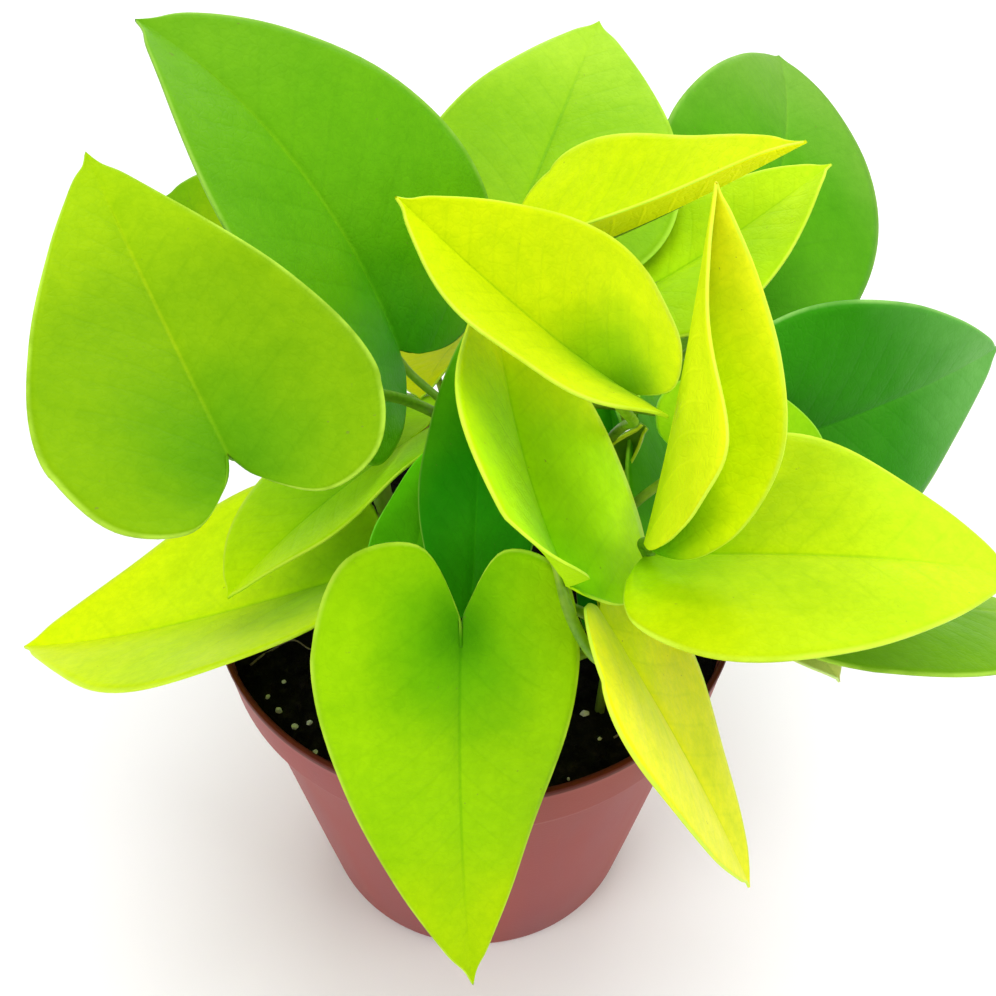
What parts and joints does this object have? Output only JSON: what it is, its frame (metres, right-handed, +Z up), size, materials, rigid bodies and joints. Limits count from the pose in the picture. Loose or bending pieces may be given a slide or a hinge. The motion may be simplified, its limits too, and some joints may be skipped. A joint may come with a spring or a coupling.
{
  "type": "potted pothos plant",
  "caption": "Trailing-type houseplant with heart-shaped lime and green leaves on curved stalks, rooted in dark soil in a tapered plastic nursery pot with a collar.",
  "frame": {"origin": "centre of the underside of the pot, on the surface it stands on", "axes": "+Z up; -Y is the plant's front, +X its right as seen from the front"},
  "size_m": [0.2244, 0.2121, 0.2137],
  "materials": {
    "pot_plastic": "matte terracotta-pink moulded plastic, slightly dusty",
    "potting_soil": "dark peat and bark potting mix with sparse pale perlite",
    "vine_stem": "smooth green plant stem",
    "leaf_stalk": "smooth pale green leaf stalk",
    "leaf_lime": "soft waxy gloss, lime yellow",
    "leaf_yellow_green": "soft waxy gloss, yellow green",
    "leaf_green": "soft waxy gloss, mid green",
    "leaf_dark_green": "soft waxy gloss, deep green"
  },
  "bodies": {
    "root": {"pot": "pot_plastic", "soil": "potting_soil", "stem_left": "vine_stem", "stem_right": "vine_stem", "stem_back": "vine_stem", "rolled_leaf": "leaf_yellow_green", "leaf_left": "leaf_green", "stalk_left": "leaf_stalk", "leaf_back_left": "leaf_green", "stalk_back_left": "leaf_stalk", "leaf_far_left": "leaf_green", "stalk_far_left": "leaf_stalk", "leaf_back": "leaf_yellow_green", "stalk_back": "leaf_stalk", "leaf_back_right": "leaf_green", "stalk_back_right": "leaf_stalk", "leaf_right_dark": "leaf_dark_green", "stalk_right_dark": "leaf_stalk", "leaf_young_upper": "leaf_lime", "stalk_young_upper": "leaf_stalk", "leaf_upper_right": "leaf_lime", "stalk_upper_right": "leaf_stalk", "leaf_top": "leaf_lime", "stalk_top": "leaf_stalk", "leaf_young_upright": "leaf_lime", "stalk_young_upright": "leaf_stalk", "leaf_right": "leaf_lime", "stalk_right": "leaf_stalk", "leaf_center": "leaf_yellow_green", "stalk_center": "leaf_stalk", "leaf_center_dark": "leaf_dark_green", "stalk_center_dark": "leaf_stalk", "leaf_front": "leaf_yellow_green", "stalk_front": "leaf_stalk", "leaf_front_right": "leaf_lime", "stalk_front_right": "leaf_stalk", "leaf_low_left": "leaf_lime", "stalk_low_left": "leaf_stalk", "leaf_inner_left": "leaf_lime", "stalk_inner_left": "leaf_stalk", "leaf_inner_dark": "leaf_dark_green", "stalk_inner_dark": "leaf_stalk", "leaf_low_right": "leaf_green", "stalk_low_right": "leaf_stalk", "leaf_small_right": "leaf_lime", "stalk_small_right": "leaf_stalk", "leaf_small_back": "leaf_lime", "stalk_small_back": "leaf_stalk", "leaf_inner_right": "leaf_green", "stalk_inner_right": "leaf_stalk", "leaf_inner_olive": "leaf_dark_green", "stalk_inner_olive": "leaf_stalk", "leaf_small_inner": "leaf_dark_green", "stalk_small_inner": "leaf_stalk", "leaf_small_center": "leaf_dark_green", "stalk_small_center": "leaf_stalk", "leaf_rear": "leaf_green", "stalk_rear": "leaf_stalk", "leaf_rear_right": "leaf_green", "stalk_rear_right": "leaf_stalk"}
  },
  "joints": []
}
